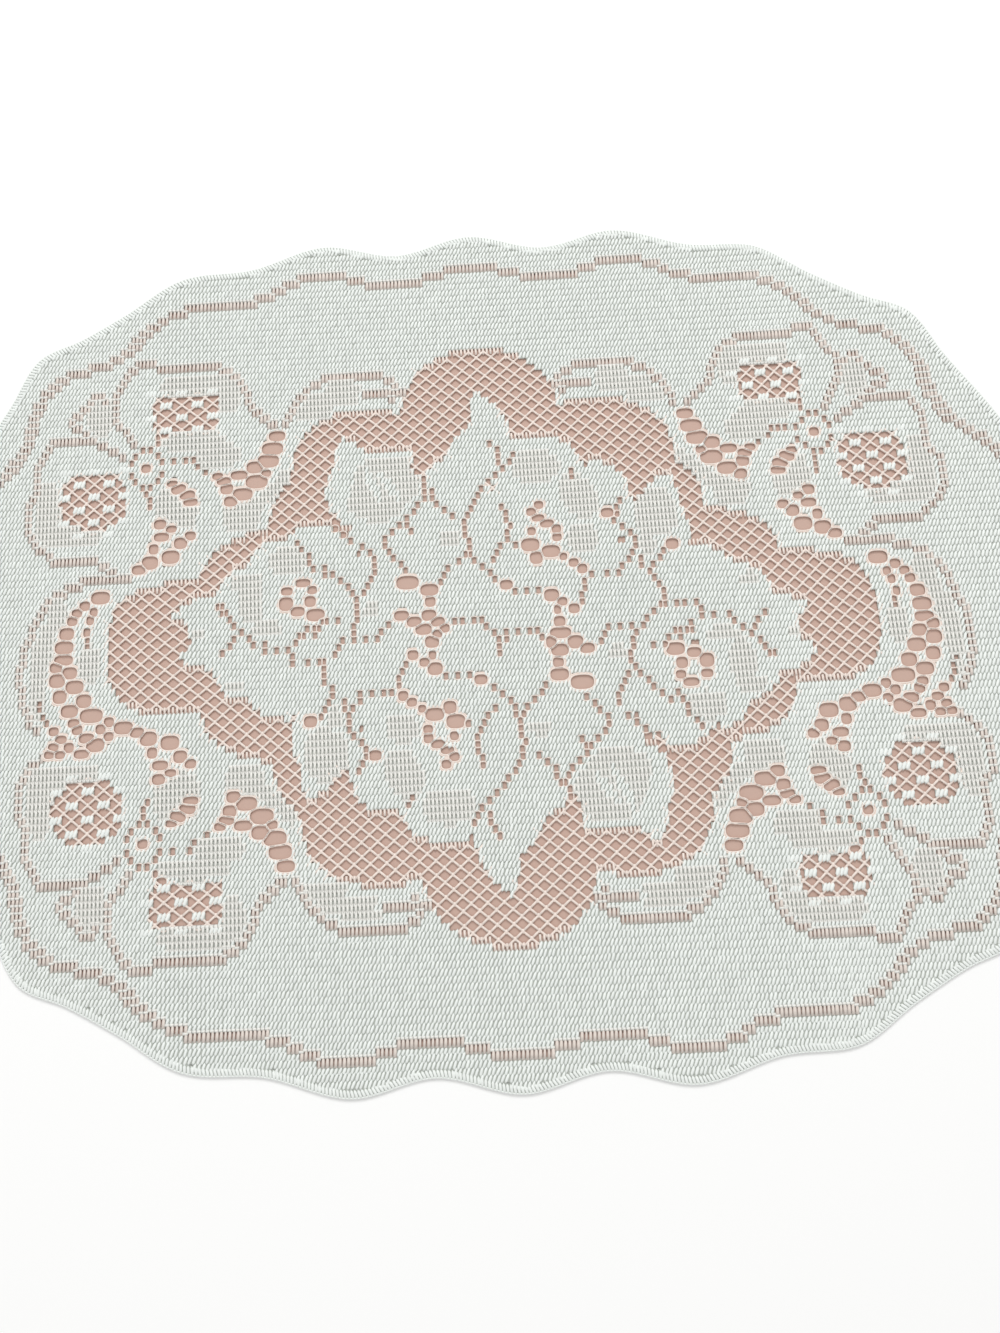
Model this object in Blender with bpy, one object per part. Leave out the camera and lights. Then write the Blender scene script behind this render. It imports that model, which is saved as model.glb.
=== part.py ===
"""A lace table doily lying flat: one thin sheet of machine-knitted lace with a scalloped edge.

The sheet lies in the XY plane, long side along X, with its underside at Z = 0 and its middle at
the origin. Its openwork is cut through: a net field round a bouquet, and the wide gaps in the
flowers, the four corner bows and the crescents at both ends. The net is cut at twice its knitted
pitch. Tables are in millimetres and are turned to metres by MM.
"""

import math

import bmesh
import bpy

MM = 0.001

# The cloth
THICKNESS = 1.2 * MM
WALE = 1.385  # one column of stitches, about 18 to the inch
COURSE = 2.461  # one row of stitches
MIDDLE_WALE = 0.25  # where the middle column lies
MIDDLE_COURSE = -0.4  # and the middle row
NET_WIDTH = 8 * WALE  # two knitted meshes across
NET_HEIGHT = 4 * COURSE  # two knitted meshes high
STRAND = 1.7  # width of cloth left between two net holes
THREAD = 0.5  # what the thread round a gap takes of its width and height
SIDE_FLAT = 0.36  # share of a gap's height that its two sides run straight
ENDS_FLAT = 0.56  # share of a gap's width that its top and foot run straight
CLEARANCE = 0.6  # least cloth between two holes

# How unevenly it lies
SAG = 2.2  # how far the middle row lies towards -Y
PULL = 1.5  # how far the middle is pulled towards +X
PULL_ENDS = 125.0  # the pull has died away this far out
PULL_FADE = 30.0  # and it does so over this length
SKEW = 0.0207  # how far each millimetre of height leans towards -X

# One quarter of the scalloped edge, crest and hollow in turn: x, y
SCALLOPS = (
    (0, 156.0),
    (28, 149.8),
    (56, 155.2),
    (84, 147.4),
    (110, 145.0),
    (131, 132.0),
    (148, 122.4),
    (165, 114.5),
    (175.5, 96.0),
    (190, 72.5),
    (200, 50.0),
    (199.5, 26.0),
    (203, 0.0),
)
EDGE_STEPS = 5  # points from one crest or hollow to the next

# The net field, the same in all four quarters: x, y, half width, half height, squareness
FIELD = (
    (0, 84, 29, 25.5, 2),
    (43, 60, 27.5, 27, 2.4),
    (66, 44, 13, 18, 2),
    (79, 24, 25, 18.5, 2),
    (108, 0, 28.5, 24.5, 3),
    (0, 30, 66, 50, 2),
)
FIELD_WIDTH = 137.0  # how far it reaches from the middle
FIELD_HEIGHT = 110.0

# The bouquet on the net, drawn twice, the second turned half round
# Petals and buds: x, y, half width, half height
PETALS = (
    (0, 0, 70, 40),
    (20, 57, 17, 16),
    (41, 46, 12, 15.5),
    (61, 34, 11.5, 17),
    (-41, 56.5, 17, 16),
    (-62, 28, 15, 15),
    (-77.5, 21.5, 11, 16),
    (-88, 15, 11, 13),
    (-100, 5, 8, 8.5),
    (74, 10, 16, 17.5),
    (88, 7, 12, 13),
    (-12, 46, 15, 19),
    (20, 40, 24, 18),
    (-36, 38, 14, 8),
)
PETAL_SQUARENESS = 2.2
# Leaves: x and y of the base, x and y of the tip, width
LEAVES = (
    (3, 54, 1, 92, 15),
    (-8, 38, -5, 76, 19),
    (60, 34, 68, 58, 15),
    (-84, 12, -113, 9, 13),
    (-84, 3, -110, 0, 10),
)

# Gaps over 4 mm: x, y, width, height
CORNER_GAPS = (
    (76.3, 78.5, 5.3, 3),
    (78, 74, 7, 3.9),
    (79.3, 69, 7.3, 4.4),
    (85.2, 66.8, 4.6, 3.4),
    (83.8, 61.2, 7, 4.4),
    (90.2, 63.8, 6, 2.9),
    (95.9, 61.7, 5, 3),
    (95.2, 58.4, 4.3, 2.8),
    (88.9, 56.3, 6.8, 4.1),
    (93.9, 54, 4.4, 3.4),
    (107.3, 54.4, 4.5, 2.4),
    (117.5, 41.8, 5, 2.8),
    (110.9, 39.1, 4.3, 3.8),
    (114.3, 34, 6, 4.5),
    (121.5, 32.2, 5.5, 4.5),
    (126.2, 29.4, 4.5, 2.8),
)
END_GAPS = (
    (139.3, 20, 6.3, 4.2),
    (151.3, 7.2, 4.8, 4),
    (152.1, 2.2, 6.2, 4.2),
    (152.2, -2.4, 6.2, 3.3),
    (149.9, -7.2, 4.8, 3.8),
    (154.5, -10.2, 5, 4.2),
    (148, -12.4, 5.9, 4.3),
    (153.2, -15.7, 4.4, 4.2),
    (144.6, -17.6, 4.9, 4.3),
    (149.6, -21, 5.6, 4),
    (141.8, -23, 7.6, 4.5),
    (131.2, -27.6, 5.4, 3.8),
    (143.3, -31, 4.8, 3),
    (139.6, -34.4, 5, 4),
    (145, -36.5, 4.8, 2.6),
)
BOUQUET_GAPS = (
    (-29.7, 19.7, 7.5, 4.5),
    (-22.4, 17, 6.3, 4),
    (-33.2, 7.8, 4.4, 2.8),
    (21.4, 12.3, 4.7, 4),
    (22.4, 28.6, 6, 4),
    (21.8, 39.1, 4.5, 2.5),
    (16.4, 31.6, 5, 4),
    (-67.4, 21.6, 5, 2.5),
    (-73.6, 14.1, 4.5, 4.5),
    (-69.4, 10.4, 4.5, 2.8),
    (-63.1, 9.5, 6, 4),
)
# The same where the two bouquets meet, cut once
MIDDLE_GAPS = (
    (-22.5, 7.2, 5, 4),
    (-24.5, 2.3, 5, 4),
    (-19.2, 4.4, 4.3, 2.6),
    (-22, -2.5, 4.5, 4),
    (24.2, -2, 6, 3.5),
    (28.7, -5.3, 4.1, 3.6),
    (22.8, -7.8, 6, 4),
)
QUARTERS = ((1, 1), (-1, 1), (1, -1), (-1, -1))
LEFT_AND_RIGHT = ((1, 1), (-1, 1))
HALF_TURN = ((1, 1), (-1, -1))
ONCE = ((1, 1),)

COTTON_WHITE = (0.74, 0.78, 0.75, 1.0)
COTTON_ROUGHNESS = 0.92


def ease(t):
    """0 below 0, 1 above 1, and a smooth rise between."""
    t = min(max(t, 0.0), 1.0)
    return t * t * (3 - 2 * t)


def lie(x, y):
    """Where a point of the even design lies on the uneven cloth.

    Its middle is pulled a little towards +X, its columns lean, and its rows lie low between the
    two long edges.
    """
    low = SAG * (1 - (y / SCALLOPS[0][1]) ** 2)
    return x + PULL * ease((PULL_ENDS - abs(x)) / PULL_FADE) - SKEW * y, y - low


def smooth_ring(points, steps):
    """A closed curve through the points, its slope at each set by the two beside it."""
    ring = []
    count = len(points)
    for k, (bx, by) in enumerate(points):
        ax, ay = points[k - 1]
        cx, cy = points[(k + 1) % count]
        dx, dy = points[(k + 2) % count]
        before = math.dist((ax, ay), (bx, by))
        length = math.dist((bx, by), (cx, cy))
        after = math.dist((cx, cy), (dx, dy))
        first = length / (before + length)
        last = length / (length + after)
        for step in range(steps):
            t = step / steps
            stay = 2 * t**3 - 3 * t**2 + 1
            leave = t**3 - 2 * t**2 + t
            arrive = t**3 - t**2
            ring.append(
                (
                    stay * bx + (1 - stay) * cx + leave * first * (cx - ax) + arrive * last * (dx - bx),
                    stay * by + (1 - stay) * cy + leave * first * (cy - ay) + arrive * last * (dy - by),
                )
            )
    return ring


def edge():
    """The scalloped edge, from one quarter mirrored into the other three."""
    back = SCALLOPS[-2::-1]
    corners = list(SCALLOPS)
    corners += [(x, -y) for x, y in back]
    corners += [(-x, -y) for x, y in SCALLOPS[1:]]
    corners += [(-x, y) for x, y in back[:-1]]
    return smooth_ring(corners, EDGE_STEPS)


def in_oval(x, y, middle_x, middle_y, half_width, half_height, squareness):
    across = abs(x - middle_x) / half_width
    along = abs(y - middle_y) / half_height
    return across**squareness + along**squareness <= 1


def in_leaf(x, y, base_x, base_y, tip_x, tip_y, width):
    run_x, run_y = tip_x - base_x, tip_y - base_y
    length = math.hypot(run_x, run_y)
    along = ((x - base_x) * run_x + (y - base_y) * run_y) / length**2
    aside = ((y - base_y) * run_x - (x - base_x) * run_y) / length
    return 0 < along < 1 and abs(aside) < width / 2 * math.sin(math.pi * along) ** 0.75


def on_net(x, y):
    """True where the sheet is net: in the field, and off the bouquet."""
    if not any(in_oval(abs(x), abs(y), *row) for row in FIELD):
        return False
    for side, _ in HALF_TURN:
        if any(in_oval(side * x, side * y, *row, PETAL_SQUARENESS) for row in PETALS):
            return False
        if any(in_leaf(side * x, side * y, *row) for row in LEAVES):
            return False
    return True


def net_holes():
    """Diamonds in staggered rows, wherever a whole one fits on the net."""
    inset = STRAND / math.sqrt(2)
    half_width = NET_WIDTH / 2 - inset
    half_height = NET_HEIGHT / 2 - inset
    rows = round(2 * FIELD_HEIGHT / NET_HEIGHT)
    columns = round(FIELD_WIDTH / NET_WIDTH)
    holes = []
    for row in range(-rows, rows + 1):
        y = MIDDLE_COURSE + COURSE + row * NET_HEIGHT / 2
        for column in range(-columns, columns + 1):
            x = MIDDLE_WALE + (column + row % 2 / 2) * NET_WIDTH
            corners = [(x + half_width, y), (x, y + half_height), (x - half_width, y), (x, y - half_height)]
            if all(on_net(*corner) for corner in corners) and on_net(x, y):
                holes.append(corners)
    return holes


def gap_hole(x, y, width, height, side_x, side_y):
    """One gap of the lace, its four corners cut off."""
    half_width, half_height = (width - THREAD) / 2, (height - THREAD) / 2
    side, end = half_height * SIDE_FLAT, half_width * ENDS_FLAT
    corner = ((half_width, side), (end, half_height))
    points = []
    for turn_x, turn_y in ((1, 1), (-1, 1), (-1, -1), (1, -1)):
        # Going round, every other corner takes its two points in the opposite order.
        pair = corner if turn_x == turn_y else corner[::-1]
        points += [(side_x * x + turn_x * across, side_y * y + turn_y * along) for across, along in pair]
    return points


def middle_and_reach(hole):
    x = sum(point[0] for point in hole) / len(hole)
    y = sum(point[1] for point in hole) / len(hole)
    return x, y, max(math.dist((x, y), point) for point in hole)


def distance_to_side(point, start, end):
    """From a point to the nearest place on the line between two others."""
    run = (end[0] - start[0], end[1] - start[1])
    share = ((point[0] - start[0]) * run[0] + (point[1] - start[1]) * run[1]) / (run[0] ** 2 + run[1] ** 2)
    share = min(max(share, 0.0), 1.0)
    return math.dist(point, (start[0] + share * run[0], start[1] + share * run[1]))


def inside_ring(point, ring):
    found = False
    for (ax, ay), (bx, by) in zip(ring, ring[1:] + ring[:1]):
        if (ay > point[1]) != (by > point[1]):
            if point[0] < (bx - ax) * (point[1] - ay) / (by - ay) + ax:
                found = not found
    return found


def too_close(hole, other):
    """True where two holes overlap or leave less cloth between them than CLEARANCE."""
    x, y, reach = middle_and_reach(hole)
    other_x, other_y, other_reach = middle_and_reach(other)
    if math.dist((x, y), (other_x, other_y)) > reach + other_reach + CLEARANCE:
        return False
    for one, two in ((hole, other), (other, hole)):
        for point in one:
            if inside_ring(point, two):
                return True
            for start, end in zip(two, two[1:] + two[:1]):
                if distance_to_side(point, start, end) < CLEARANCE:
                    return True
    return False


def all_holes():
    """Every gap cut through, those of the flowers first, each clear of those before it."""
    wanted = []
    for table, sides in (
        (BOUQUET_GAPS, HALF_TURN),
        (MIDDLE_GAPS, ONCE),
        (CORNER_GAPS, QUARTERS),
        (END_GAPS, LEFT_AND_RIGHT),
    ):
        for side_x, side_y in sides:
            wanted += [gap_hole(*row, side_x, side_y) for row in table]
    wanted += net_holes()
    holes = []
    for hole in wanted:
        if not any(too_close(hole, other) for other in holes):
            holes.append(hole)
    return holes


def add_loop(mesh, points):
    """One closed loop of edges at Z = 0, the points moved to where the cloth lies."""
    verts = []
    for point in points:
        x, y = lie(*point)
        verts.append(mesh.verts.new((x * MM, y * MM, 0)))
    for k, vert in enumerate(verts):
        mesh.edges.new((vert, verts[(k + 1) % len(verts)]))


def lace_sheet(name):
    """The sheet: edge and holes filled flat, then drawn up to the cloth's thickness."""
    mesh = bmesh.new()
    add_loop(mesh, edge())
    for hole in all_holes():
        add_loop(mesh, hole)
    bmesh.ops.triangle_fill(mesh, use_beauty=True, use_dissolve=False, edges=mesh.edges[:])
    drawn = bmesh.ops.extrude_face_region(mesh, geom=mesh.faces[:])
    raised = [item for item in drawn["geom"] if isinstance(item, bmesh.types.BMVert)]
    bmesh.ops.translate(mesh, verts=raised, vec=(0, 0, THICKNESS))
    bmesh.ops.recalc_face_normals(mesh, faces=mesh.faces[:])
    data = bpy.data.meshes.new(name)
    mesh.to_mesh(data)
    mesh.free()
    sheet = bpy.data.objects.new(name, data)
    bpy.context.scene.collection.objects.link(sheet)
    return sheet


def cotton():
    """White cotton yarn: matt, slightly cool."""
    material = bpy.data.materials.new("white_cotton_lace")
    material.use_nodes = True
    shader = material.node_tree.nodes["Principled BSDF"]
    shader.inputs["Base Color"].default_value = COTTON_WHITE
    shader.inputs["Roughness"].default_value = COTTON_ROUGHNESS
    shader.inputs["Metallic"].default_value = 0.0
    return material


def main():
    for old in list(bpy.data.objects):
        bpy.data.objects.remove(old)
    doily = lace_sheet("lace_doily")
    doily.data.materials.append(cotton())


main()
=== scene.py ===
"""The looks of a lace table doily lying flat: machine-knitted cotton lace, stitch by stitch.

The lace is charted as the knitter would: one column of stitches is a wale, one line of them is
a row, and every cell of the chart is solid cloth, shaded cloth, a bar of open posts, net, a
filling or a gap. The flowers, bows and crescents are painted on the chart as plain shapes with
sizes in millimetres, and each cell is then knitted with copies of a few stitches that are
modelled once. Sizes are in millimetres until a mesh is made.
"""

import math

import bpy
import numpy as np
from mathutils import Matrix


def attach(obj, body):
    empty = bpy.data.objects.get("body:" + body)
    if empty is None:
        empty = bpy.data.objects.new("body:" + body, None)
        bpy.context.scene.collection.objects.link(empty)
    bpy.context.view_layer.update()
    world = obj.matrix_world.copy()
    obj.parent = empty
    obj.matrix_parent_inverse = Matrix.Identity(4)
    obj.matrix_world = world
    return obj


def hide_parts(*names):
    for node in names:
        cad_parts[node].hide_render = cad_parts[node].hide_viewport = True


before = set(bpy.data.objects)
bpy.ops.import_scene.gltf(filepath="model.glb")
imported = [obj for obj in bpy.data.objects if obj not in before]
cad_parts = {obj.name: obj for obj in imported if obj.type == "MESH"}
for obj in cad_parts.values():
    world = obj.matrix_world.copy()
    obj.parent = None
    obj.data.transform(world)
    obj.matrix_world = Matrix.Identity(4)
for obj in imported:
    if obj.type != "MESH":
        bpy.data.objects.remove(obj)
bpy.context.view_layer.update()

MM = 0.001
NODE = "lace_doily"
BODY = "root"

# --- The cloth -----------------------------------------------------------------------------

WALE = 1.385  # one column of stitches, a little over 18 to the inch
ROW = 2.461  # one row of stitches
LATTICE_X = 0.25  # where the middle wale and row lie
LATTICE_Y = -0.4
WALES_OUT = 149  # wales from the middle to either end
ROWS_OUT = 66  # rows from the middle to either long edge
MESH_WALES = 4  # one mesh of the net is four wales wide
MESH_ROWS = 2  # and two rows high

# How unevenly it lies: the same as the cloth's solid
HALF_HEIGHT = 156.0
SAG = 2.2  # how far the middle row lies towards -Y
PULL = 1.5  # how far the middle is pulled towards +X
PULL_ENDS = 125.0  # the pull has died away this far out
PULL_FADE = 30.0  # and it does so over this length
SKEW = 0.0207  # how far each millimetre of height leans towards -X

# --- The design, in one shared frame with the middle of the doily at 0, 0 --------------------

# One quarter of the scalloped edge, crest and hollow in turn: x, y
SCALLOPS = (
    (0, 156.0),
    (28, 149.8),
    (56, 155.2),
    (84, 147.4),
    (110, 145.0),
    (131, 132.0),
    (148, 122.4),
    (165, 114.5),
    (175.5, 96.0),
    (190, 72.5),
    (200, 50.0),
    (199.5, 26.0),
    (203, 0.0),
)
EDGE_STEPS = 12  # points from one crest or hollow to the next

# The net field, the same in all four quarters: x, y, half width, half height, squareness
FIELD = (
    (0, 84, 29, 25.5, 2),
    (43, 60, 27.5, 27, 2.4),
    (66, 44, 13, 18, 2),
    (79, 24, 25, 18.5, 2),
    (108, 0, 28.5, 24.5, 3),
    (0, 30, 66, 50, 2),
)

# The bouquet, drawn twice, the second turned half round
# Petals and buds: x, y, half width, half height
PETALS = (
    (0, 0, 70, 40),
    (20, 57, 17, 16),
    (41, 46, 12, 15.5),
    (61, 34, 11.5, 14.5),
    (-41, 55.5, 17, 15),
    (-62, 28, 15, 15),
    (-77.5, 21.5, 11, 16),
    (-88, 15, 11, 13),
    (-100, 5, 8, 8.5),
    (74, 10, 16, 17.5),
    (88, 7, 12, 13),
    (-12, 46, 15, 19),
    (20, 40, 24, 18),
    (-36, 38, 14, 8),
)
PETAL_SQUARENESS = 2.2
# Leaves: x and y of the base, x and y of the tip, width
LEAVES = (
    (9, 58, -1, 92, 13.5),
    (-8, 38, -4, 79, 19),
    (60, 34, 67, 56, 13),
    (-45, 55, -51.5, 76, 13),
    (-40, 56, -26, 69.5, 12),
    (-84, 14, -114, 12, 12),
    (-84, 0, -112, -4, 12),
)
# Shaded parts of the petals: x, y, half width, half height, tilt
PETAL_SHADING = (
    (-35.5, 58.5, 12.3, 10, 0),
    (-39.5, 52, 11, 8.5, 0),
    (19, 61, 9, 6, 0),
    (34, 49, 6, 9, 25),
    (34, 33, 5.5, 5, 0),
    (61, 41, 8, 9, 0),
    (-86, 15, 4.5, 8, 0),
    (-72, 30, 7, 5, 0),
    (-81, 5, 6, 2.6, 0),
    (-88, 23, 6, 2.6, 0),
    (-43, 10, 3, 2.6, 0),
    (-13.5, 35, 4, 2.6, 0),
    (57, 28.5, 3, 3.8, 0),
    (-105, 4.5, 2.6, 1.3, 0),
    (92, 15, 3.5, 1.9, 0),
)
# Streaks of solid cloth through the shading, tip to tip: x, y, x, y, width
PETAL_STREAKS = (
    (-44, 67, -37.5, 48, 3.6),
    (-39.5, 64, -30.5, 50, 3.4),
    (-55, 60, -49, 52, 2.6),
)

# Shaded parts of the frame round the net, in each quarter: x, y, half width, half height
FRAME_SHADING = (
    (105, 101, 13, 4.4),
    (93.5, 95.5, 4, 7),
    (107, 78.5, 12, 3.2),
    (98, 72, 8.5, 5),
    (140.5, 90, 5, 8),
    (159.5, 53, 5, 12),
    (149.5, 44.5, 11, 4.4),
    (112, 53, 7.5, 9),
    (89, 49, 7, 6.5),
    (50.5, 96.5, 7, 1.9),
    (55, 92, 11, 2.9),
    (62, 87.5, 7.5, 2.9),
)
FRAME_SQUARENESS = 2.4
# A shaded band along an arc: x, y, radius, half width, start and end angle
CORNER_BAND = (101, 84, 36, 2.8, 214, 262)
# Shaded parts of the ends, left and right: x, y, half width, half height
END_SHADING = (
    (143, -4.5, 4, 7),
    (154.5, 14.5, 4, 5.5),
    (158, 4, 3, 8),
    (161, -9, 3, 15),
)

# The filled squares of each bow, in each quarter: x, y, half width, half height, squareness,
# then the wale and row of one knot
FILLINGS = (
    (108.8, 89.8, 12, 7.6, 5, 76, 36),
    (142.7, 57, 12.3, 11, 2.6, 103, 26),
)

# Bars of open posts in each quarter, row by row: x from, x to, row
EDGE_BARS = (
    (0, 10.8, 58), (10, 19, 57), (18.5, 41, 56), (40.6, 48.2, 57), (47.4, 66.6, 58),
    (66, 73, 57), (71.5, 76.4, 56), (75.8, 83.6, 55), (82.6, 109.8, 54), (109, 115.8, 53),
    (115, 119.8, 52), (118, 123.2, 51), (121.2, 126.2, 50), (124, 128.8, 49),
    (125.6, 130.4, 48), (128.2, 133.2, 47), (132, 137, 46), (136.2, 145.6, 45),
    (144.8, 154, 44), (153, 158, 43), (156.2, 160.7, 42), (159, 163.2, 41),
    (160.5, 164.5, 40), (161.7, 166, 39), (162.7, 167, 38), (163.2, 168.5, 37),
    (163.5, 168.6, 36), (163.5, 168.8, 35), (165, 169.7, 34), (165, 170, 33),
    (166.6, 171.2, 32), (167.6, 172.6, 31), (169, 174.3, 30), (170.3, 175.8, 29),
    (173.5, 178.4, 28), (176.3, 181.5, 27), (179.4, 184.5, 26), (182, 187, 25),
    (184.5, 189, 24), (186.5, 191, 23), (188, 192, 22), (189, 193, 21),
)  # fmt: skip
CAP_BARS = (
    (29.6, 31.8, 39), (31.2, 35.7, 40), (35.7, 58.9, 41), (58.3, 62.7, 40), (62.7, 65.7, 39),
    (64.8, 68.5, 38), (67.9, 70, 37), (69, 71, 36), (70.2, 72.2, 35), (71, 73.3, 34),
    (27, 43, 38), (30.5, 33, 37),
)  # fmt: skip
UPPER_LOOP_BARS = (
    (96.4, 120, 44), (119.8, 127.8, 45), (126.6, 130.4, 44), (129.4, 131.2, 43),
    (130.6, 132.6, 42), (132, 134.2, 41), (133.6, 135.6, 40), (133.6, 135.6, 39),
    (133.8, 136, 38), (134, 135.5, 37), (133, 135.3, 36), (132, 133.8, 35),
    (130.3, 132.2, 34), (128.8, 130.7, 33), (127, 129.2, 32),
    (92.2, 97.2, 43), (89.4, 92.8, 42), (88, 90, 41), (86.6, 88.8, 40), (85.2, 87.2, 39),
    (84.8, 87.8, 38), (84, 86, 37), (81, 84.4, 36), (78.3, 81.8, 35), (75.5, 79, 34),
    (139, 143.8, 40), (137.5, 139.8, 39), (143, 145.5, 39), (144.3, 148, 38),
    (147, 151.5, 37), (151, 153.2, 36), (147, 151.5, 35), (144.2, 147.8, 34),
)  # fmt: skip
SIDE_LOOP_BARS = (
    (130.7, 133, 30), (133.8, 137.4, 31), (138.2, 141.7, 32), (141.2, 160.2, 33),
    (159.4, 161, 32), (160.7, 162.6, 31), (162.2, 164, 30), (162.3, 164.1, 29),
    (162.3, 164.1, 28), (162.3, 164.1, 27), (162.3, 164.1, 26), (162.6, 164.5, 25),
    (164.2, 165.8, 24), (165.7, 167.6, 23), (165.7, 167.6, 22), (165.7, 167.6, 21),
    (165.7, 167.6, 20), (166, 167.6, 19), (164.5, 166.4, 18), (163.2, 165, 17),
    (160.3, 163.5, 16), (157.4, 160.3, 15),
)  # fmt: skip
# The same at both ends, left and right alone, from the loop above the crescent down its back
END_BARS = (
    (140, 158, 14), (136.8, 140.5, 13), (134, 137.8, 12), (128, 146.8, 11),
    (145.5, 152.5, 10), (152, 157, 9), (156.5, 159, 8), (158.5, 160.7, 7), (160, 162, 6),
    (161.3, 163.3, 5), (162.8, 164.3, 4), (163.8, 165.3, 3), (164.3, 165.8, 2),
    (165, 167, 1), (166, 167.5, 0), (166.3, 168, -1), (167, 168.5, -2), (167, 168.5, -3),
    (166.8, 168.2, -4), (166.3, 168, -5), (165.8, 167.5, -6), (165.3, 167, -7),
    (164.5, 166.2, -8), (163.5, 165.3, -9), (162.3, 164.2, -10), (160.7, 162.7, -11),
)  # fmt: skip
# Along the unseen ends the edge's bars follow a line: x, y
END_EDGE_LINE = ((192, 50), (193, 40), (192, 26), (194, 0))
END_EDGE_STEPS = 24

# Gaps: x, y, width, height
CORNER_GAPS = (
    (75.6, 78.6, 5.6, 3.4), (77.4, 73.7, 7.4, 4.4), (79.1, 69, 7.4, 4.6), (84.1, 66.8, 5.6, 4.1),
    (80, 64.3, 3.2, 2.5), (83.5, 61.2, 7.6, 4.7), (90, 64.1, 5.7, 2.9), (97.9, 64.1, 3.5, 2.2),
    (95.7, 62.1, 4.7, 2.6), (94.6, 59, 4.2, 3.6), (88.8, 56.6, 6.9, 4.2), (93.2, 54.1, 4.4, 3.4),
    (113.8, 62.2, 3.6, 1.9), (111.6, 59.9, 5, 3.5), (108.6, 57.5, 5.2, 3.1), (107.5, 54.7, 4.8, 2.4),
    (118, 46.7, 4, 3.2), (114.1, 44.7, 3.5, 2.2), (117.5, 41.8, 5, 2.8), (107.6, 41.7, 3.5, 2.8),
    (110.9, 39.1, 4.3, 3.8), (120.2, 37.3, 3, 3.3), (114.3, 34, 6, 4.5), (121.5, 32.2, 5.5, 4.5),
    (125.5, 29.8, 4.5, 3), (123.2, 68.7, 3, 2.8), (116.9, 82, 3, 2.4),
)  # fmt: skip
END_GAPS = (
    (139.3, 20, 6.3, 4.2), (145, 17.3, 3.3, 3), (141.7, 14.8, 2.3, 2.8), (147.8, 14.7, 3.2, 2.6),
    (149.4, 11.8, 3.2, 2.8), (142.9, 11.8, 2.2, 2.8), (151.3, 7.2, 4.8, 4), (144, 7.4, 2, 3),
    (152.1, 2.2, 6.2, 4.2), (152.2, -2.4, 6.2, 3.3), (154.8, -5, 4, 3.2), (149.9, -7.2, 4.8, 3.8),
    (154.3, -9.8, 5.2, 4.4), (148, -12.4, 5.9, 4.3), (153.2, -15.7, 4.4, 4.2),
    (144.6, -17.6, 4.9, 4.3), (149.6, -21, 5.6, 4), (141.8, -23, 7.6, 4.5), (135.5, -25.6, 3, 3),
    (148, -25.4, 3.6, 2.6), (130.3, -27.9, 6.2, 4), (138.4, -28, 3, 3), (146.7, -27.8, 3.2, 3),
    (143.3, -31, 4.8, 3), (135.5, -30.7, 3, 2.6), (140.2, -33.5, 6, 4.3), (145, -36.5, 4.8, 2.6),
    (155, -28, 3, 2.6), (152.4, -31, 3.6, 2.4), (149.5, -34, 3, 3), (152.6, -36.4, 3.2, 2.2),
    (155, -33.6, 3.2, 2.4), (156.4, -36.2, 3, 2.2),
)  # fmt: skip
BOUQUET_GAPS = (
    (-29.7, 19.7, 7.5, 4.5), (-22, 16.6, 5.9, 3.8), (-21.9, 12.2, 3.2, 3.2), (-32.4, 7.6, 4.7, 3.1),
    (29, 7, 3.3, 3), (25, 9.8, 3.1, 2.6), (21.4, 12.3, 4.7, 4), (5.6, 17, 4, 3),
    (33.1, 21.5, 3, 3), (30.2, 23.9, 3, 2.6), (26.7, 26.4, 2.2, 2.2), (22.4, 28.6, 6, 4),
    (17, 26.4, 4, 4), (43.8, 42, 4, 3), (65.9, 29, 4, 3.5),
    (21.8, 39.1, 4.5, 2.5), (25, 36.9, 2.8, 3), (25, 33.8, 2.8, 2.6), (15.2, 31.4, 6, 4.4),
    (16, 36.5, 2.5, 2.5), (18.7, 41.4, 4, 2.2), (16.4, 43.8, 3, 2.5), (19.3, 46.3, 2.8, 2.5),
    (-67.4, 21.6, 5, 2.5), (-73.2, 18.8, 3.6, 2.5), (-73.6, 14.1, 4.5, 4.5),
    (-69.5, 11.1, 4.5, 3), (-64.9, 14.6, 3.5, 3.5), (-64.1, 18.8, 3, 2.5), (-63.1, 9.5, 6, 4),
)  # fmt: skip
# Where the two bouquets meet, once: x, y, width, height
MIDDLE_GAPS = (
    (-22.6, 7.2, 4.7, 3.5), (-28, 5.1, 4.7, 3.2), (-24.8, 2.2, 5.2, 3.5), (-19.6, 4.7, 4.4, 3),
    (-17.3, 2.2, 3, 2.6), (-20, 0.3, 3, 2.4), (-22, -2.5, 4.4, 3.8), (-22.1, -7.3, 2.1, 2.8),
    (23.5, -1.6, 6.9, 3.5), (28.5, -5.2, 5, 4.2), (20, -4.8, 3.1, 3.8), (22.8, -7.8, 5.6, 3.8),
    (23.5, 2.5, 3.5, 3.4), (23.1, 6.9, 1.9, 2.8),
)  # fmt: skip

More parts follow.
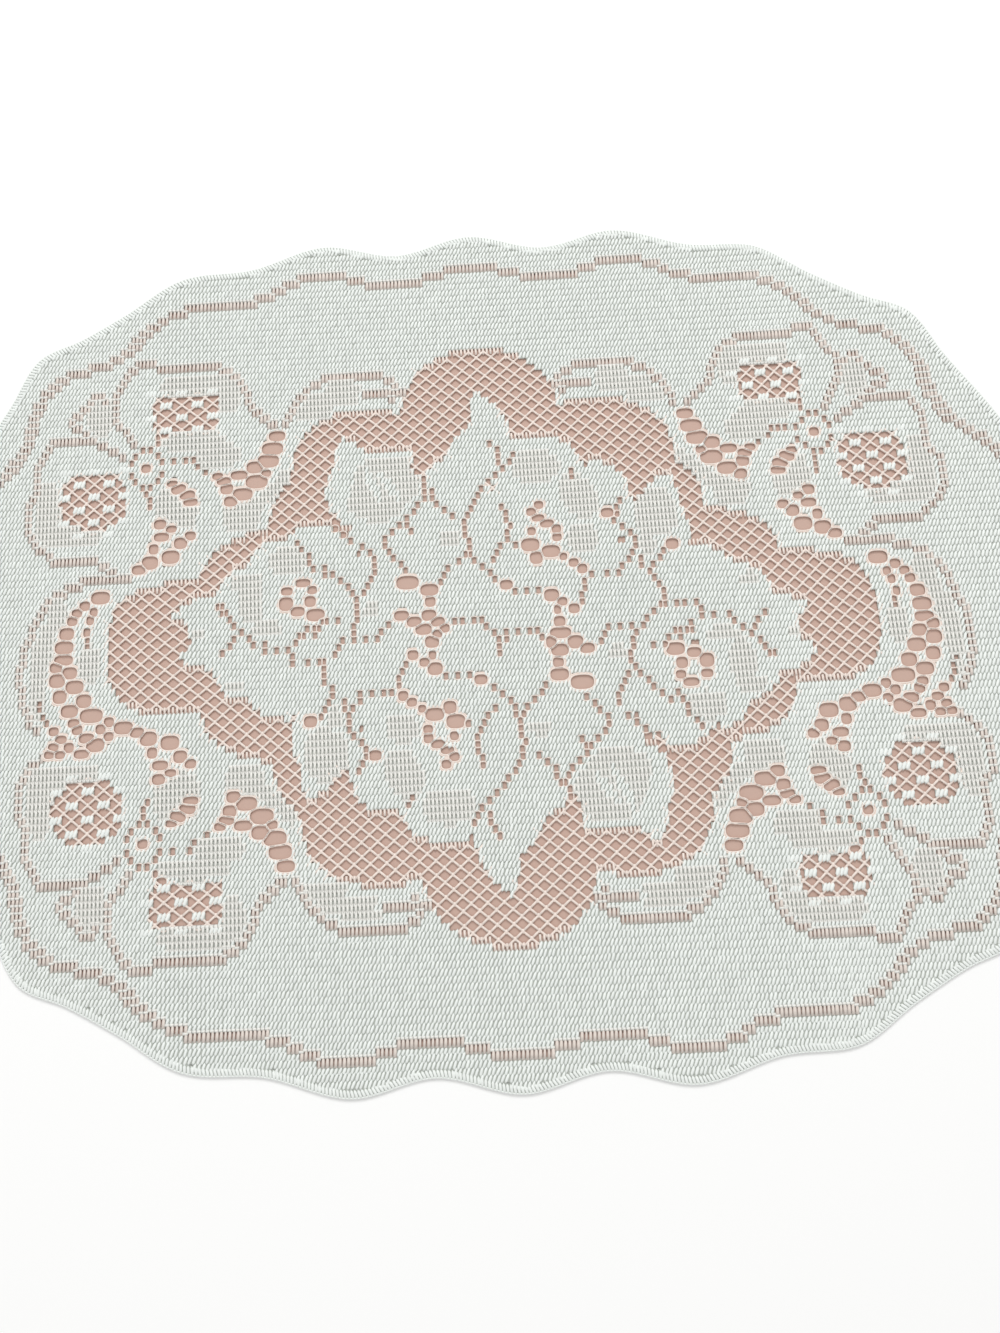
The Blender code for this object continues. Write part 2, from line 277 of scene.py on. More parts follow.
# Lines of small holes, each a smooth line through points: x, y
BOUQUET_SEAMS = (
    ((11.5, 66), (4.7, 58.4), (-1, 54), (-7.5, 42), (-7.4, 35), (-4.8, 26.3), (2.5, 19.3)),
    ((9.2, 14.4), (17.5, 14.5)),
    ((3, 71), (5.4, 68), (5.6, 64.5)),
    ((6, 46.5), (8.2, 39.5), (6.8, 34.2), (1, 26.5)),
    ((8.9, 31.6), (11.5, 31.6)),
    ((36.5, 19.5), (44.6, 19.2), (50, 24.3), (52.9, 30), (51.1, 34.1), (46, 39)),
    ((47.1, 41.3), (47.1, 43.9), (49.9, 46.4)),
    ((32.9, 58.9), (31.5, 56.5)),
    ((34, 17.2), (34, 14.6), (31.5, 9.5)),
    ((53.9, 24), (54.6, 21.6)),
    ((62.7, 26.6), (57.3, 19), (60.5, 14.3), (60.4, 7)),
    ((57.5, 4.9), (51, -0.2), (42.5, 0), (36.6, -5)),
    ((50.5, -2.3), (48.2, -7.5), (48.2, -14.5), (53.8, -21.8), (59.6, -27)),
    ((61.5, 7.4), (69.8, 7.5), (75, 2.6), (79.3, 2.5), (86.8, -2), (97.7, -13.5)),
    ((70.9, 0), (68.3, -2.4), (59.9, -7)),
    ((91.3, -2), (97.2, 2.5)),
    ((-22, 58.8), (-22.1, 51.6), (-27.1, 46.3), (-37.5, 36.4)),
    ((-28.9, 41.4), (-27.3, 39)),
    ((-19.3, 54.1), (-17.5, 49), (-12.1, 43.9)),
    ((-41.3, 28.5), (-42, 24.3), (-46, 16.8)),
    ((-18, 19), (-14.5, 23.9), (-8, 29)),
    ((-56.1, 41.3), (-49.6, 36.5), (-42.5, 31.6)),
    ((-38.2, 33.8), (-34.2, 29), (-30.5, 24.6)),
    ((-57.7, 24.1), (-64, 27), (-65.2, 31.3), (-69.3, 36.4)),
    ((-55.7, 7), (-59.9, 7)),
    ((-63.4, 3.4), (-67.9, 2.1)),
    ((-97.7, 13.7), (-92.4, 8.8)),
)
MIDDLE_SEAMS = (
    ((-14.2, 4.5), (-5.7, 4.5), (-0.5, 0), (1.7, -4.8), (1, -7.5)),
    ((4, -2.3), (5.7, 0), (13.5, 0.2), (16.8, -2.2)),
)
BOW_SEAMS = (
    ((98.5, 64), (105.3, 68.6), (108.8, 71.3), (113, 71.3)),
    ((123, 59.5), (122.3, 56.6), (121.5, 54)),
    ((118.7, 79.6), (118.7, 78.6)),
)
END_SEAMS = (((143.4, 5), (143.2, 3)), ((157.6, -25.3), (160.1, -20), (161, -17.5)))
SEAM_STEP = 3  # wales from one hole to the next where a seam runs level
# The ring of holes at each bow's knot
RING_MIDDLE = (123.2, 68.8)
RING_SIZE = (6.2, 7.5)
RING_HOLES = 12
RING_HALF_WIDTH = 1.4  # of each of its holes

QUARTERS = ((1, 1), (-1, 1), (1, -1), (-1, -1))
LEFT_AND_RIGHT = ((1, 1), (-1, 1))
HALF_TURN = ((1, 1), (-1, -1))
ONCE = ((1, 1),)

# --- The chart -----------------------------------------------------------------------------

OUTSIDE, SOLID, SHADED, BARRED, NET, GAP, FILLED, HUNG = range(8)
CLOTH = (SOLID, SHADED)

wales = np.arange(-WALES_OUT, WALES_OUT + 1)
rows = np.arange(-ROWS_OUT, ROWS_OUT + 1)


def place(wale, row):
    """The place of any point of the chart, also between two wales or rows."""
    return np.asarray(wale, float) * WALE + LATTICE_X, np.asarray(row, float) * ROW + LATTICE_Y


def lie(x, y):
    """Where a point of the even design lies on the uneven cloth."""
    ease = np.clip((PULL_ENDS - np.abs(x)) / PULL_FADE, 0, 1)
    ease = ease * ease * (3 - 2 * ease)
    return x + PULL * ease - SKEW * y, y - SAG * (1 - (y / HALF_HEIGHT) ** 2)


grid_x, grid_y = place(*np.meshgrid(wales, rows))
chart = np.full(grid_x.shape, OUTSIDE)


def cell(x, y):
    """Index of the chart's row and wale at a place."""
    return round((y - LATTICE_Y) / ROW) + ROWS_OUT, round((x - LATTICE_X) / WALE) + WALES_OUT


def paint(where, kind, over):
    chart[where & np.isin(chart, over)] = kind


def oval(px, py, x, y, half_width, half_height, squareness=2.0, tilt=0.0):
    turn = math.radians(tilt)
    across = (px - x) * math.cos(turn) + (py - y) * math.sin(turn)
    along = (py - y) * math.cos(turn) - (px - x) * math.sin(turn)
    return np.abs(across / half_width) ** squareness + np.abs(along / half_height) ** squareness <= 1


LEAF_FULLNESS = 0.75  # under 1 the leaf is fuller towards its ends


def leaf(px, py, base_x, base_y, tip_x, tip_y, width):
    run_x, run_y = tip_x - base_x, tip_y - base_y
    length = math.hypot(run_x, run_y)
    along = ((px - base_x) * run_x + (py - base_y) * run_y) / length**2
    aside = ((py - base_y) * run_x - (px - base_x) * run_y) / length
    swelling = np.sin(np.pi * np.clip(along, 0, 1)) ** LEAF_FULLNESS
    return np.abs(aside) < width / 2 * swelling


def arc_band(px, py, x, y, radius, half_width, first, last):
    angle = np.degrees(np.arctan2(py - y, px - x))
    turned = (angle - first) % 360
    return (np.abs(np.hypot(px - x, py - y) - radius) < half_width) & (turned < last - first)


def smooth_line(points, steps, closed=False):
    """A curve through the points, its slope at each set by the two beside it."""
    at = np.array(points, float)
    if not closed:
        at = np.concatenate([2 * at[:1] - at[1:2], at, 2 * at[-1:] - at[-2:-1]])
    else:
        at = np.concatenate([at[-1:], at, at[:2]])
    share = (np.arange(steps) / steps)[:, None]
    stay = 2 * share**3 - 3 * share**2 + 1
    leave = share**3 - 2 * share**2 + share
    arrive = share**3 - share**2
    line = []
    for before, start, end, after in zip(at, at[1:], at[2:], at[3:]):
        length = math.dist(start, end)
        first = length / (math.dist(before, start) + length) * (end - before)
        last = length / (length + math.dist(end, after)) * (after - start)
        line.append(stay * start + (1 - stay) * end + leave * first + arrive * last)
    if not closed:
        line.append(at[-2:-1])
    return np.concatenate(line)


def edge_line(inset=0.0):
    """The scalloped edge, from one quarter mirrored into the other three, moved inwards."""
    back = SCALLOPS[-2::-1]
    corners = list(SCALLOPS)
    corners += [(x, -y) for x, y in back]
    corners += [(-x, -y) for x, y in SCALLOPS[1:]]
    corners += [(-x, y) for x, y in back[:-1]]
    ring = smooth_line(corners, EDGE_STEPS, closed=True)
    run = np.roll(ring, -1, 0) - np.roll(ring, 1, 0)
    run /= np.linalg.norm(run, axis=1)[:, None]
    return ring + inset * np.stack([run[:, 1], -run[:, 0]], 1)


def inside(px, py, ring):
    """True where a point lies inside a closed line."""
    found = np.zeros(np.shape(px), bool)
    for (ax, ay), (bx, by) in zip(ring, np.roll(ring, -1, 0)):
        if ay != by:
            crossing = (bx - ax) * (py - ay) / (by - ay) + ax
            found ^= ((ay > py) != (by > py)) & (px < crossing)
    return found


def first_and_last(low, high):
    """The wales that a level stretch of cloth covers, at least two."""
    first = round((low - LATTICE_X) / WALE + 0.5)
    last = round((high - LATTICE_X) / WALE - 0.5)
    if last <= first:
        first = math.floor(((low + high) / 2 - LATTICE_X) / WALE)
        last = first + 1
    return first + WALES_OUT, last + WALES_OUT


def open_row(low, high, row, side_x, side_y):
    """Bars of open posts in one row from one x to another, in one quarter."""
    if side_x < 0:
        low, high = -high, -low
    first, last = first_and_last(low, high)
    # Mirrored rows lie a little off the middle, as the rows themselves do.
    index = cell(0, side_y * (row * ROW + LATTICE_Y))[0]
    stretch = chart[index, first : last + 1]
    stretch[np.isin(stretch, (SOLID, SHADED, NET))] = BARRED


BAR_REACH = 1.6


def bar(line, side_x, side_y):
    """Bars along a line: each row is open over the wales that the line crosses in it."""
    spans = {}
    for x, y in line:
        row = round((y - LATTICE_Y) / ROW)
        low, high = spans.get(row, (x, x))
        spans[row] = min(low, x), max(high, x)
    for row, (low, high) in spans.items():
        open_row(low - BAR_REACH, high + BAR_REACH, row, side_x, side_y)


SMALL_HALF_HEIGHT = 1.5  # to the middle of its thread
RIM_OUT = 0.55  # how far the middle of a gap's thread lies outside it
LEFT_OUT = 0.95  # stitches whose middles lie this far out or less are left out
HOLE_SQUARENESS = 2.7


small_holes = []  # x, y, half width and half height of each
gaps = []  # the same
rims = []  # x, y and the rim round it, across and along


def pierce(x, y, half_width):
    """One small hole: a stitch is left out, and its neighbours are drawn aside."""
    row, wale = cell(x, y)
    if chart[row, wale] in CLOTH:
        chart[row, wale] = GAP
        at_x, at_y = place(wale - WALES_OUT, row - ROWS_OUT)
        small_holes.append((float(at_x), float(at_y), half_width, SMALL_HALF_HEIGHT))


def gap(x, y, width, height, side_x, side_y):
    """Opens one gap: the stitches in it are left out."""
    x, y = side_x * x, side_y * y
    half_width, half_height = width / 2 + RIM_OUT, height / 2 + RIM_OUT
    size = (LEFT_OUT * half_width, LEFT_OUT * half_height)
    paint(oval(grid_x, grid_y, x, y, *size, HOLE_SQUARENESS), GAP, range(SOLID, FILLED + 1))
    chart[cell(x, y)[0], np.abs(grid_x[0] - x) < size[0] - WALE / 4] = GAP
    gaps.append((x, y, half_width, half_height))


# Shares here run from 0 at a hole's middle to 1 at its rim.
RIM_SHARES = np.linspace(0.2, 1, 33)  # where a rim is tried against the next hole's
STITCH_REACH = 2.2  # a stitch whose middle is this near a rim may reach into the hole
LEAST_SHARE = 0.2  # points further in than this are moved no more than it is
DEEP_INSIDE = 0.8  # stitches whose points lie no further out than this on average are dropped
RIM_STEPS = 20
RIM_RADIUS = 0.3
RIM_Z = 0.38
HOLE_RIM_STEPS = 10
HOLE_RIM_RADIUS = 0.26
GATHERED = 0.55  # how far outside the rim the gathered ground lies


def across_and_along(turn, half_width, half_height):
    """Steps from a hole's middle to its rounded rim, in the directions given."""
    power = 2 / HOLE_SQUARENESS
    across = half_width * np.sign(np.cos(turn)) * np.abs(np.cos(turn)) ** power
    along = half_height * np.sign(np.sin(turn)) * np.abs(np.sin(turn)) ** power
    return across, along


def settle_rims(holes, steps):
    """Gives each hole its rim: rounded, but straight where the next hole shares its thread."""
    at = np.array(gaps + small_holes)
    turn = (np.arange(steps) + 0.5) * 2 * math.pi / steps
    for x, y, half_width, half_height in holes:
        across, along = across_and_along(turn, half_width, half_height)
        near = np.abs(at[:, 0] - x) < at[:, 2] + half_width
        near &= np.abs(at[:, 1] - y) < at[:, 3] + half_height
        reach = np.ones(steps)
        for next_x, next_y, next_width, next_height in at[near]:
            if (next_x, next_y) == (x, y):
                continue
            for share in RIM_SHARES:
                far_x = np.abs(x + share * across - next_x) / next_width
                far_y = np.abs(y + share * along - next_y) / next_height
                theirs = (far_x**HOLE_SQUARENESS + far_y**HOLE_SQUARENESS) ** (1 / HOLE_SQUARENESS)
                reach = np.where(theirs < share, np.minimum(reach, share), reach)
        middle_x, middle_y = lie(x, y)
        rims.append((float(middle_x), float(middle_y), reach * across, reach * along))


def rim_lines(first, last, further=0.0):
    """The rims of some of the holes as closed lines, or lines a little further out."""
    lines = []
    for x, y, across, along in rims[first:last]:
        size = np.hypot(across, along)
        out = 1 + further / size
        lines.append(vectors(x + across * out, y + along * out, RIM_Z))
    return lines


def push_aside(laid, drop=True):
    """Moves what reaches into a hole out to its rim, and drops stitches that lie deep in one."""
    middle = laid.mean(1)
    kept = np.ones(len(laid), bool)
    for x, y, across, along in rims:
        reach_x, reach_y = np.abs(across).max() + STITCH_REACH, np.abs(along).max() + STITCH_REACH
        near = (np.abs(middle[:, 0] - x) < reach_x) & (np.abs(middle[:, 1] - y) < reach_y)
        if near.any():
            found = laid[near]
            off_x, off_y = found[..., 0] - x, found[..., 1] - y
            turn = np.arctan2(off_y, off_x)
            rim_turn, rim_size = np.arctan2(along, across), np.hypot(across, along)
            rim = np.interp(turn, rim_turn, rim_size, period=2 * math.pi)
            share = np.hypot(off_x, off_y) / rim
            kept[near] &= share.mean(1) > DEEP_INSIDE
            out = np.where(share < 1, 1 / np.maximum(share, LEAST_SHARE), 1.0)
            found[..., 0] = x + off_x * out
            found[..., 1] = y + off_y * out
            laid[near] = found
    return laid[kept] if drop else laid


def pushed(laid, faces, uvs):
    return push_aside(laid), faces, uvs


SEAM_STEPS = 30
NARROW_HALF = 1.1  # half a hole's width where its seam runs upright
WIDE_HALF = 1.55  # where it runs level or leans
WIDE_RUN = 1.5


def seam(points, side_x, side_y):
    """A line of small holes: one a row where it climbs, one in three wales where it runs level."""
    line = smooth_line(points, SEAM_STEPS) * (side_x, side_y)
    rows_of = np.round((line[:, 1] - LATTICE_Y) / ROW)
    for run in np.split(line, np.flatnonzero(np.diff(rows_of)) + 1):
        middle = run[len(run) // 2]
        width = abs(run[-1, 0] - run[0, 0])
        if width < (SEAM_STEP - 0.5) * WALE:
            pierce(*middle, NARROW_HALF + (WIDE_HALF - NARROW_HALF) * min(width / WIDE_RUN, 1))
            continue
        for share in np.linspace(0, 1, round(width / (SEAM_STEP * WALE)) + 1):
            pierce(run[0, 0] + share * (run[-1, 0] - run[0, 0]), middle[1], WIDE_HALF)


GROUND_INSET = 0.8


def draw_ground():
    """Solid cloth inside the edge, and the net field in it with the bouquet on top."""
    chart[inside(grid_x, grid_y, edge_line(GROUND_INSET))] = SOLID
    far_x, far_y = np.abs(grid_x), np.abs(grid_y)
    for row in FIELD:
        paint(oval(far_x, far_y, *row), NET, (SOLID,))
    for side, _ in HALF_TURN:
        for row in PETALS:
            paint(oval(side * grid_x, side * grid_y, *row, PETAL_SQUARENESS), SOLID, (NET,))
        for row in LEAVES:
            paint(leaf(side * grid_x, side * grid_y, *row), SOLID, (NET,))


def draw_shading():
    far_x, far_y = np.abs(grid_x), np.abs(grid_y)
    for side, _ in HALF_TURN:
        for *row, tilt in PETAL_SHADING:
            shape = oval(side * grid_x, side * grid_y, *row, PETAL_SQUARENESS, tilt)
            paint(shape, SHADED, (SOLID,))
        for row in PETAL_STREAKS:
            paint(leaf(side * grid_x, side * grid_y, *row), SOLID, (SHADED,))
    for row in FRAME_SHADING:
        paint(oval(far_x, far_y, *row, FRAME_SQUARENESS), SHADED, (SOLID,))
    paint(arc_band(far_x, far_y, *CORNER_BAND), SHADED, (SOLID,))
    for row in END_SHADING:
        paint(oval(far_x, grid_y, *row, FRAME_SQUARENESS), SHADED, (SOLID,))


def draw_bars():
    for sides in QUARTERS:
        for table in (EDGE_BARS, CAP_BARS, UPPER_LOOP_BARS, SIDE_LOOP_BARS):
            for row in table:
                open_row(*row, *sides)
        bar(smooth_line(END_EDGE_LINE, END_EDGE_STEPS), *sides)
    for sides in LEFT_AND_RIGHT:
        for row in END_BARS:
            open_row(*row, *sides)


def draw_fillings():
    """Net with a block of cloth in every other mesh."""
    for row in FILLINGS:
        shape = oval(np.abs(grid_x), np.abs(grid_y), *row[:5])
        paint(shape, FILLED, (SOLID, SHADED, BARRED, NET, GAP))


def draw_holes():
    for table, seams, places in (
        (CORNER_GAPS, BOW_SEAMS, QUARTERS),
        (END_GAPS, END_SEAMS, LEFT_AND_RIGHT),
        (BOUQUET_GAPS, BOUQUET_SEAMS, HALF_TURN),
        (MIDDLE_GAPS, MIDDLE_SEAMS, ONCE),
    ):
        for sides in places:
            for row in table:
                gap(*row, *sides)
            for points in seams:
                seam(points, *sides)
    for side_x, side_y in QUARTERS:
        for k in range(RING_HOLES):
            turn = 2 * math.pi * (k + 0.5) / RING_HOLES
            x = RING_MIDDLE[0] + RING_SIZE[0] * math.cos(turn)
            y = RING_MIDDLE[1] + RING_SIZE[1] * math.sin(turn)
            pierce(side_x * x, side_y * y, RING_HALF_WIDTH)


HUNG_RUN = 3  # wales, an odd number


def hang_net():
    """Where the cloth's edge runs level, the net right above or below it hangs from open posts."""
    above = np.roll(chart, -1, 0)
    below = np.roll(chart, 1, 0)
    for beside in (above, below):
        wanted = (chart == NET) & np.isin(beside, CLOTH)
        run = np.ones(HUNG_RUN, int)
        for row in range(len(chart)):
            full = np.convolve(wanted[row], run, "same") == HUNG_RUN
            level = np.convolve(full, run, "same") > 0
            chart[row, level & wanted[row]] = HUNG


# --- The stitches, modelled once -------------------------------------------------------------


LYING = (math.pi / 2, 0, 0)  # from upright to along the wales
POST_TOP = 0.75  # width of a post's top, its foot being one


def deselect_all():
    for piece in bpy.context.selected_objects:
        piece.select_set(False)


def take(piece):
    """A modelled stitch as points, faces and UVs, its object removed.

    Blender lists a sphere's faces in another order each run, so they are sorted here.
    """
    mesh = piece.data
    points = np.empty((len(mesh.vertices), 3))
    mesh.vertices.foreach_get("co", points.ravel())
    sides = sorted(mesh.polygons, key=lambda side: list(side.vertices))
    faces = [list(side.vertices) for side in sides]
    corners = mesh.uv_layers[0].data
    uvs = np.array([corners[at].uv for side in sides for at in side.loop_indices])
    bpy.data.objects.remove(piece)
    return points, faces, uvs


def pick(piece, chosen):
    """Selects, in edit mode, the points that chosen says."""
    bpy.ops.object.mode_set(mode="EDIT")
    bpy.ops.mesh.select_mode(type="VERT")
    bpy.ops.mesh.select_all(action="DESELECT")
    bpy.ops.object.mode_set(mode="OBJECT")
    for vert in piece.data.vertices:
        vert.select = bool(chosen(vert.co))
    bpy.ops.object.mode_set(mode="EDIT")


def plump_stitch(rings=3, belly=1.12):
    """A loose bulky loop seen from above: an oval, full along its middle, one long and one wide."""
    deselect_all()
    bpy.ops.mesh.primitive_uv_sphere_add(segments=6, ring_count=rings, radius=0.5, rotation=LYING)
    bpy.ops.object.transform_apply(location=False, rotation=True, scale=False)
    piece = bpy.context.object
    pick(piece, lambda at: abs(at.y) < 0.4)
    bpy.ops.transform.resize(value=(belly, 1.0, belly))
    bpy.ops.object.mode_set(mode="OBJECT")
    return take(piece)


def lying_cylinder(sides):
    deselect_all()
    bpy.ops.mesh.primitive_cylinder_add(vertices=sides, radius=0.5, depth=1.0, rotation=LYING)
    bpy.ops.object.transform_apply(location=False, rotation=True, scale=False)
    return bpy.context.object


def straight_thread(sides):
    """A length of thread, one long and one wide."""
    return take(lying_cylinder(sides))


def tapered_post():
    """A bare post: thin where it leaves the row above, spreading into the row below."""
    piece = lying_cylinder(5)
    pick(piece, lambda at: at.y > 0.4)
    bpy.ops.transform.resize(value=(POST_TOP, 1.0, 1.0))
    bpy.ops.object.mode_set(mode="OBJECT")
    return take(piece)


# --- Laying copies ---------------------------------------------------------------------------

chance = np.random.default_rng(7)


def vectors(x, y, z):
    """Three lists or numbers as one list of vectors."""
    return np.stack(np.broadcast_arrays(x, y, z), -1).astype(float)


def on_cloth(wale, row, z):
    """Where points of the chart lie on the cloth, at a height."""
    return vectors(*lie(*place(wale, row)), z)


def copies(stitch, at, across, along, up):
    """One copy of a stitch at each place, stretched to its own three directions."""
    points, faces, uvs = stitch
    laid = at[:, None, :]
    for k, direction in enumerate((across, along, up)):
        laid = laid + points[None, :, k, None] * direction[:, None, :]
    return laid, faces, uvs


def between(stitch, first, last, width, thickness):
    """One copy from each first to each last point, lying flat."""
    run = last - first
    length = np.linalg.norm(run[:, :2], axis=1)[:, None]
    flat = np.stack([run[:, 1], -run[:, 0], np.zeros(len(run))], 1) / length
    up = vectors(0, 0, np.full(len(run), 1.0) * thickness)
    return copies(stitch, (first + last) / 2, flat * np.reshape(width, (-1, 1)), run, up)


def knit(name, groups, material):
    """One piece joined from groups of copies, each copy with its own tone."""
    points, corners, sizes, uvs, tones = [], [], [], [], []
    count = 0
    for laid, faces, face_uvs in groups:
        number, each = laid.shape[:2]
        points.append(laid.reshape(-1, 3))
        flat = np.array([corner for face in faces for corner in face])
        corners.append((flat[None, :] + (count + each * np.arange(number))[:, None]).ravel())
        sizes.append(np.tile([len(face) for face in faces], number))
        uvs.append(np.tile(face_uvs, (number, 1)))
        tones.append(np.repeat(chance.random(number), each))
        count += number * each
    points = np.concatenate(points) * MM
    corners, sizes = np.concatenate(corners), np.concatenate(sizes)
    mesh = bpy.data.meshes.new(name)
    mesh.vertices.add(len(points))
    mesh.vertices.foreach_set("co", points.astype(np.float32).ravel())
    mesh.loops.add(len(corners))
    mesh.loops.foreach_set("vertex_index", corners.astype(np.int32))
    mesh.polygons.add(len(sizes))
    mesh.polygons.foreach_set("loop_start", (np.cumsum(sizes) - sizes).astype(np.int32))
    mesh.polygons.foreach_set("use_smooth", np.ones(len(sizes), bool))
    mesh.update(calc_edges=True)
    layer = mesh.uv_layers.new(name="around_and_along")
    layer.data.foreach_set("uv", np.concatenate(uvs).astype(np.float32).ravel())
    tone = mesh.attributes.new("tone", "FLOAT", "POINT")
    tone.data.foreach_set("value", np.concatenate(tones).astype(np.float32))
    piece = bpy.data.objects.new(name, mesh)
    bpy.context.scene.collection.objects.link(piece)
    return finish_piece(piece, material)


# --- Materials ---------------------------------------------------------------------------------

PATTERN_YARN = "#F6FAF6"  # bulky cotton inlay, bleached, a little cool
GROUND_YARN_PAINTED_BOUNCE = "#F8EAE0"  # fine cotton, bleached, the warmer of the two: cream, with a pink tint that is painted reflection of the blush paper beneath
SHADING_YARN = "#F5F4EE"  # the same in the shaded cloth, where it lies closer
BAR_YARN_PAINTED_SHADE = "#ECE1D8"  # bare posts over an opening, which shows between their fibres; their grey-pink is painted shade for that dark opening
# Painted shade: the ground's grey stands for the shadow in the lanes between the strokes; the yarn
# itself is white.
BASE_CLOTH_PAINTED_SHADE = "#B9BDB6"
FLOOR_WHITE = "#FDFDFC"
PAPER_BLUSH = "#C8AC9F"


def finish_piece(piece, material):
    piece.data.materials.clear()
    piece.data.materials.append(material)
    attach(piece, BODY)
    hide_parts(NODE)
    return piece


def linear(colour):
    """An sRGB hex value as the linear colour that Blender takes."""
    values = [int(colour[k : k + 2], 16) / 255 for k in (1, 3, 5)]
    return [v / 12.92 if v <= 0.04045 else ((v + 0.055) / 1.055) ** 2.4 for v in values] + [1.0]


def add_node(tree, kind, inputs=(), **settings):
    """Adds a node with its settings; each input is a value or the socket that it is linked from."""
    made_node = tree.nodes.new(kind)
    for name, value in settings.items():
        setattr(made_node, name, value)
    for name, value in dict(inputs).items():
        if isinstance(value, bpy.types.NodeSocket):
            tree.links.new(value, made_node.inputs[name])
        else:
            made_node.inputs[name].default_value = value
    return made_node


FIBRE_TUFT = 0.5  # a single fibre is far too fine to show, so tufts of them are drawn
FIBRE_MOTTLE = 0.06
PLIES = 2
TURNS = 1.2  # turns of each ply in one stitch; the real yarn's four would be too fine to show
PLY_DEPTH = 0.05


def yarn(name, colour, variation=0.07):
    """Carded cotton, ring spun in two plies and bleached after knitting.

    Bleached cotton scatters nearly all light and has no gloss. Its loose fibres catch a little
    light round each stitch, and its thick and thin places give each stitch a tone of its own.
    """
    material = bpy.data.materials.new(name)
    material.use_nodes = True
    tree = material.node_tree
    shader = tree.nodes["Principled BSDF"]
    shader.inputs["Roughness"].default_value = 0.88
    shader.inputs["Specular IOR Level"].default_value = 0.25
    shader.inputs["Sheen Weight"].default_value = 0.15
    shader.inputs["Sheen Roughness"].default_value = 0.5
    # The tone attribute is each stitch's own tone; on the ground it carries painted shade for the
    # slots of the shaded cloth instead.
    stitch = add_node(tree, "ShaderNodeAttribute", attribute_name="tone")
    own = add_node(
        tree,
        "ShaderNodeMapRange",
        {"Value": stitch.outputs["Fac"], "To Min": 1 - variation, "To Max": 1.0},
    )
    cloth = add_node(tree, "ShaderNodeTexCoord")
    fibres = add_node(
        tree,
        "ShaderNodeTexNoise",
        {"Vector": cloth.outputs["Object"], "Scale": 1 / (FIBRE_TUFT * MM), "Detail": 2.0},
    )
    mottle = add_node(
        tree,
        "ShaderNodeMapRange",
        {"Value": fibres.outputs["Fac"], "To Min": 1 - FIBRE_MOTTLE, "To Max": 1.0},
    )
    both = add_node(
        tree,
        "ShaderNodeMath",
        {0: own.outputs["Result"], 1: mottle.outputs["Result"]},
        operation="MULTIPLY",
    )
    tinted = add_node(
        tree,
        "ShaderNodeMix",
        {"Factor": 1.0, "A": linear(colour)},
        data_type="RGBA",
        blend_type="MULTIPLY",
    )
    tree.links.new(both.outputs[0], tinted.inputs[7])
    tree.links.new(tinted.outputs[2], shader.inputs["Base Color"])
    # The two plies turn round each other: a ridge that climbs as it goes round the stitch.
    around_and_along = add_node(tree, "ShaderNodeUVMap", uv_map="around_and_along")
    parts = add_node(tree, "ShaderNodeSeparateXYZ", {"Vector": around_and_along.outputs["UV"]})
    climb = add_node(
        tree,
        "ShaderNodeMath",
        {0: parts.outputs["Y"], 1: TURNS, 2: parts.outputs["X"]},
        operation="MULTIPLY_ADD",
    )
    angle = add_node(
        tree,
        "ShaderNodeMath",
        {0: climb.outputs[0], 1: PLIES * 2 * math.pi},
        operation="MULTIPLY",
    )
    ridge = add_node(tree, "ShaderNodeMath", {0: angle.outputs[0]}, operation="SINE")
    bump = add_node(
        tree,
        "ShaderNodeBump",
        {"Height": ridge.outputs[0], "Strength": 0.22, "Distance": PLY_DEPTH * MM},
    )
    tree.links.new(bump.outputs["Normal"], shader.inputs["Normal"])
    return material


def plain(name, colour):
    material = bpy.data.materials.new(name)
    material.use_nodes = True
    shader = material.node_tree.nodes["Principled BSDF"]
    shader.inputs["Base Color"].default_value = linear(colour)
    shader.inputs["Roughness"].default_value = 0.9
    shader.inputs["Specular IOR Level"].default_value = 0.1
    return material


# --- The pieces --------------------------------------------------------------------------------

STROKE_WIDTH = 1.04
STROKE_THICK = 0.82
STROKE_OVERLAP = 1.36  # length in rows
STROKE_TRIM = 0.75  # how much shorter a stroke is for each bar above or below it
STROKE_LEAN = math.radians(20)
ASTRAY = (0.04, 0.05)  # how far strokes lie off their cell, across and along
LEAN_VARIES = math.radians(2.5)
LENGTH_VARIES = 0.03
WIDTH_VARIES = 0.04
CLOTH_Z = 0.46
BASE_LOW = 0.14
BASE_HIGH = 0.3
PANELS = 4
STITCH_INSET = 2.4  # how far inside the edge the strokes and the ground stop
STRIP_INSET = 3.4  # the strip of ground under the bound edge starts here
RIM_INSET = 0.5  # and ends here, where the rim's cord lies
STRIP_UP = 0.02  # the strip lies this much above the ground, so that they don't flicker


def cells(*kinds):
    """Wale and row numbers of all cells of these kinds."""
    row, wale = np.nonzero(np.isin(chart, kinds))
    return wale - WALES_OUT, row - ROWS_OUT


def plump_strokes(wale, row, open_above=0, open_below=0):
    """One bulky stroke a cell, leaning to the right, drawn back from open posts above or below."""
    x, y = lie(*place(wale, row))
    count = len(x)
    shorter = STROKE_TRIM * (open_above + open_below)
    y = y + STROKE_TRIM / 2 * (open_below - open_above)
    x = x + chance.normal(0, ASTRAY[0], count)
    y = y + chance.normal(0, ASTRAY[1], count)
    lean = STROKE_LEAN + chance.normal(0, LEAN_VARIES, count)
    whole = ROW * STROKE_OVERLAP / np.cos(STROKE_LEAN)
    length = whole * chance.normal(1, LENGTH_VARIES, count) - shorter
    width = STROKE_WIDTH * chance.normal(1, WIDTH_VARIES, count)
    at = vectors(x, y, CLOTH_Z)
    along = vectors(length * np.sin(lean), length * np.cos(lean), 0)
    across = vectors(width * np.cos(lean), -width * np.sin(lean), 0)
    up = vectors(np.zeros(count), 0, STROKE_THICK)
    return at, across, along, up


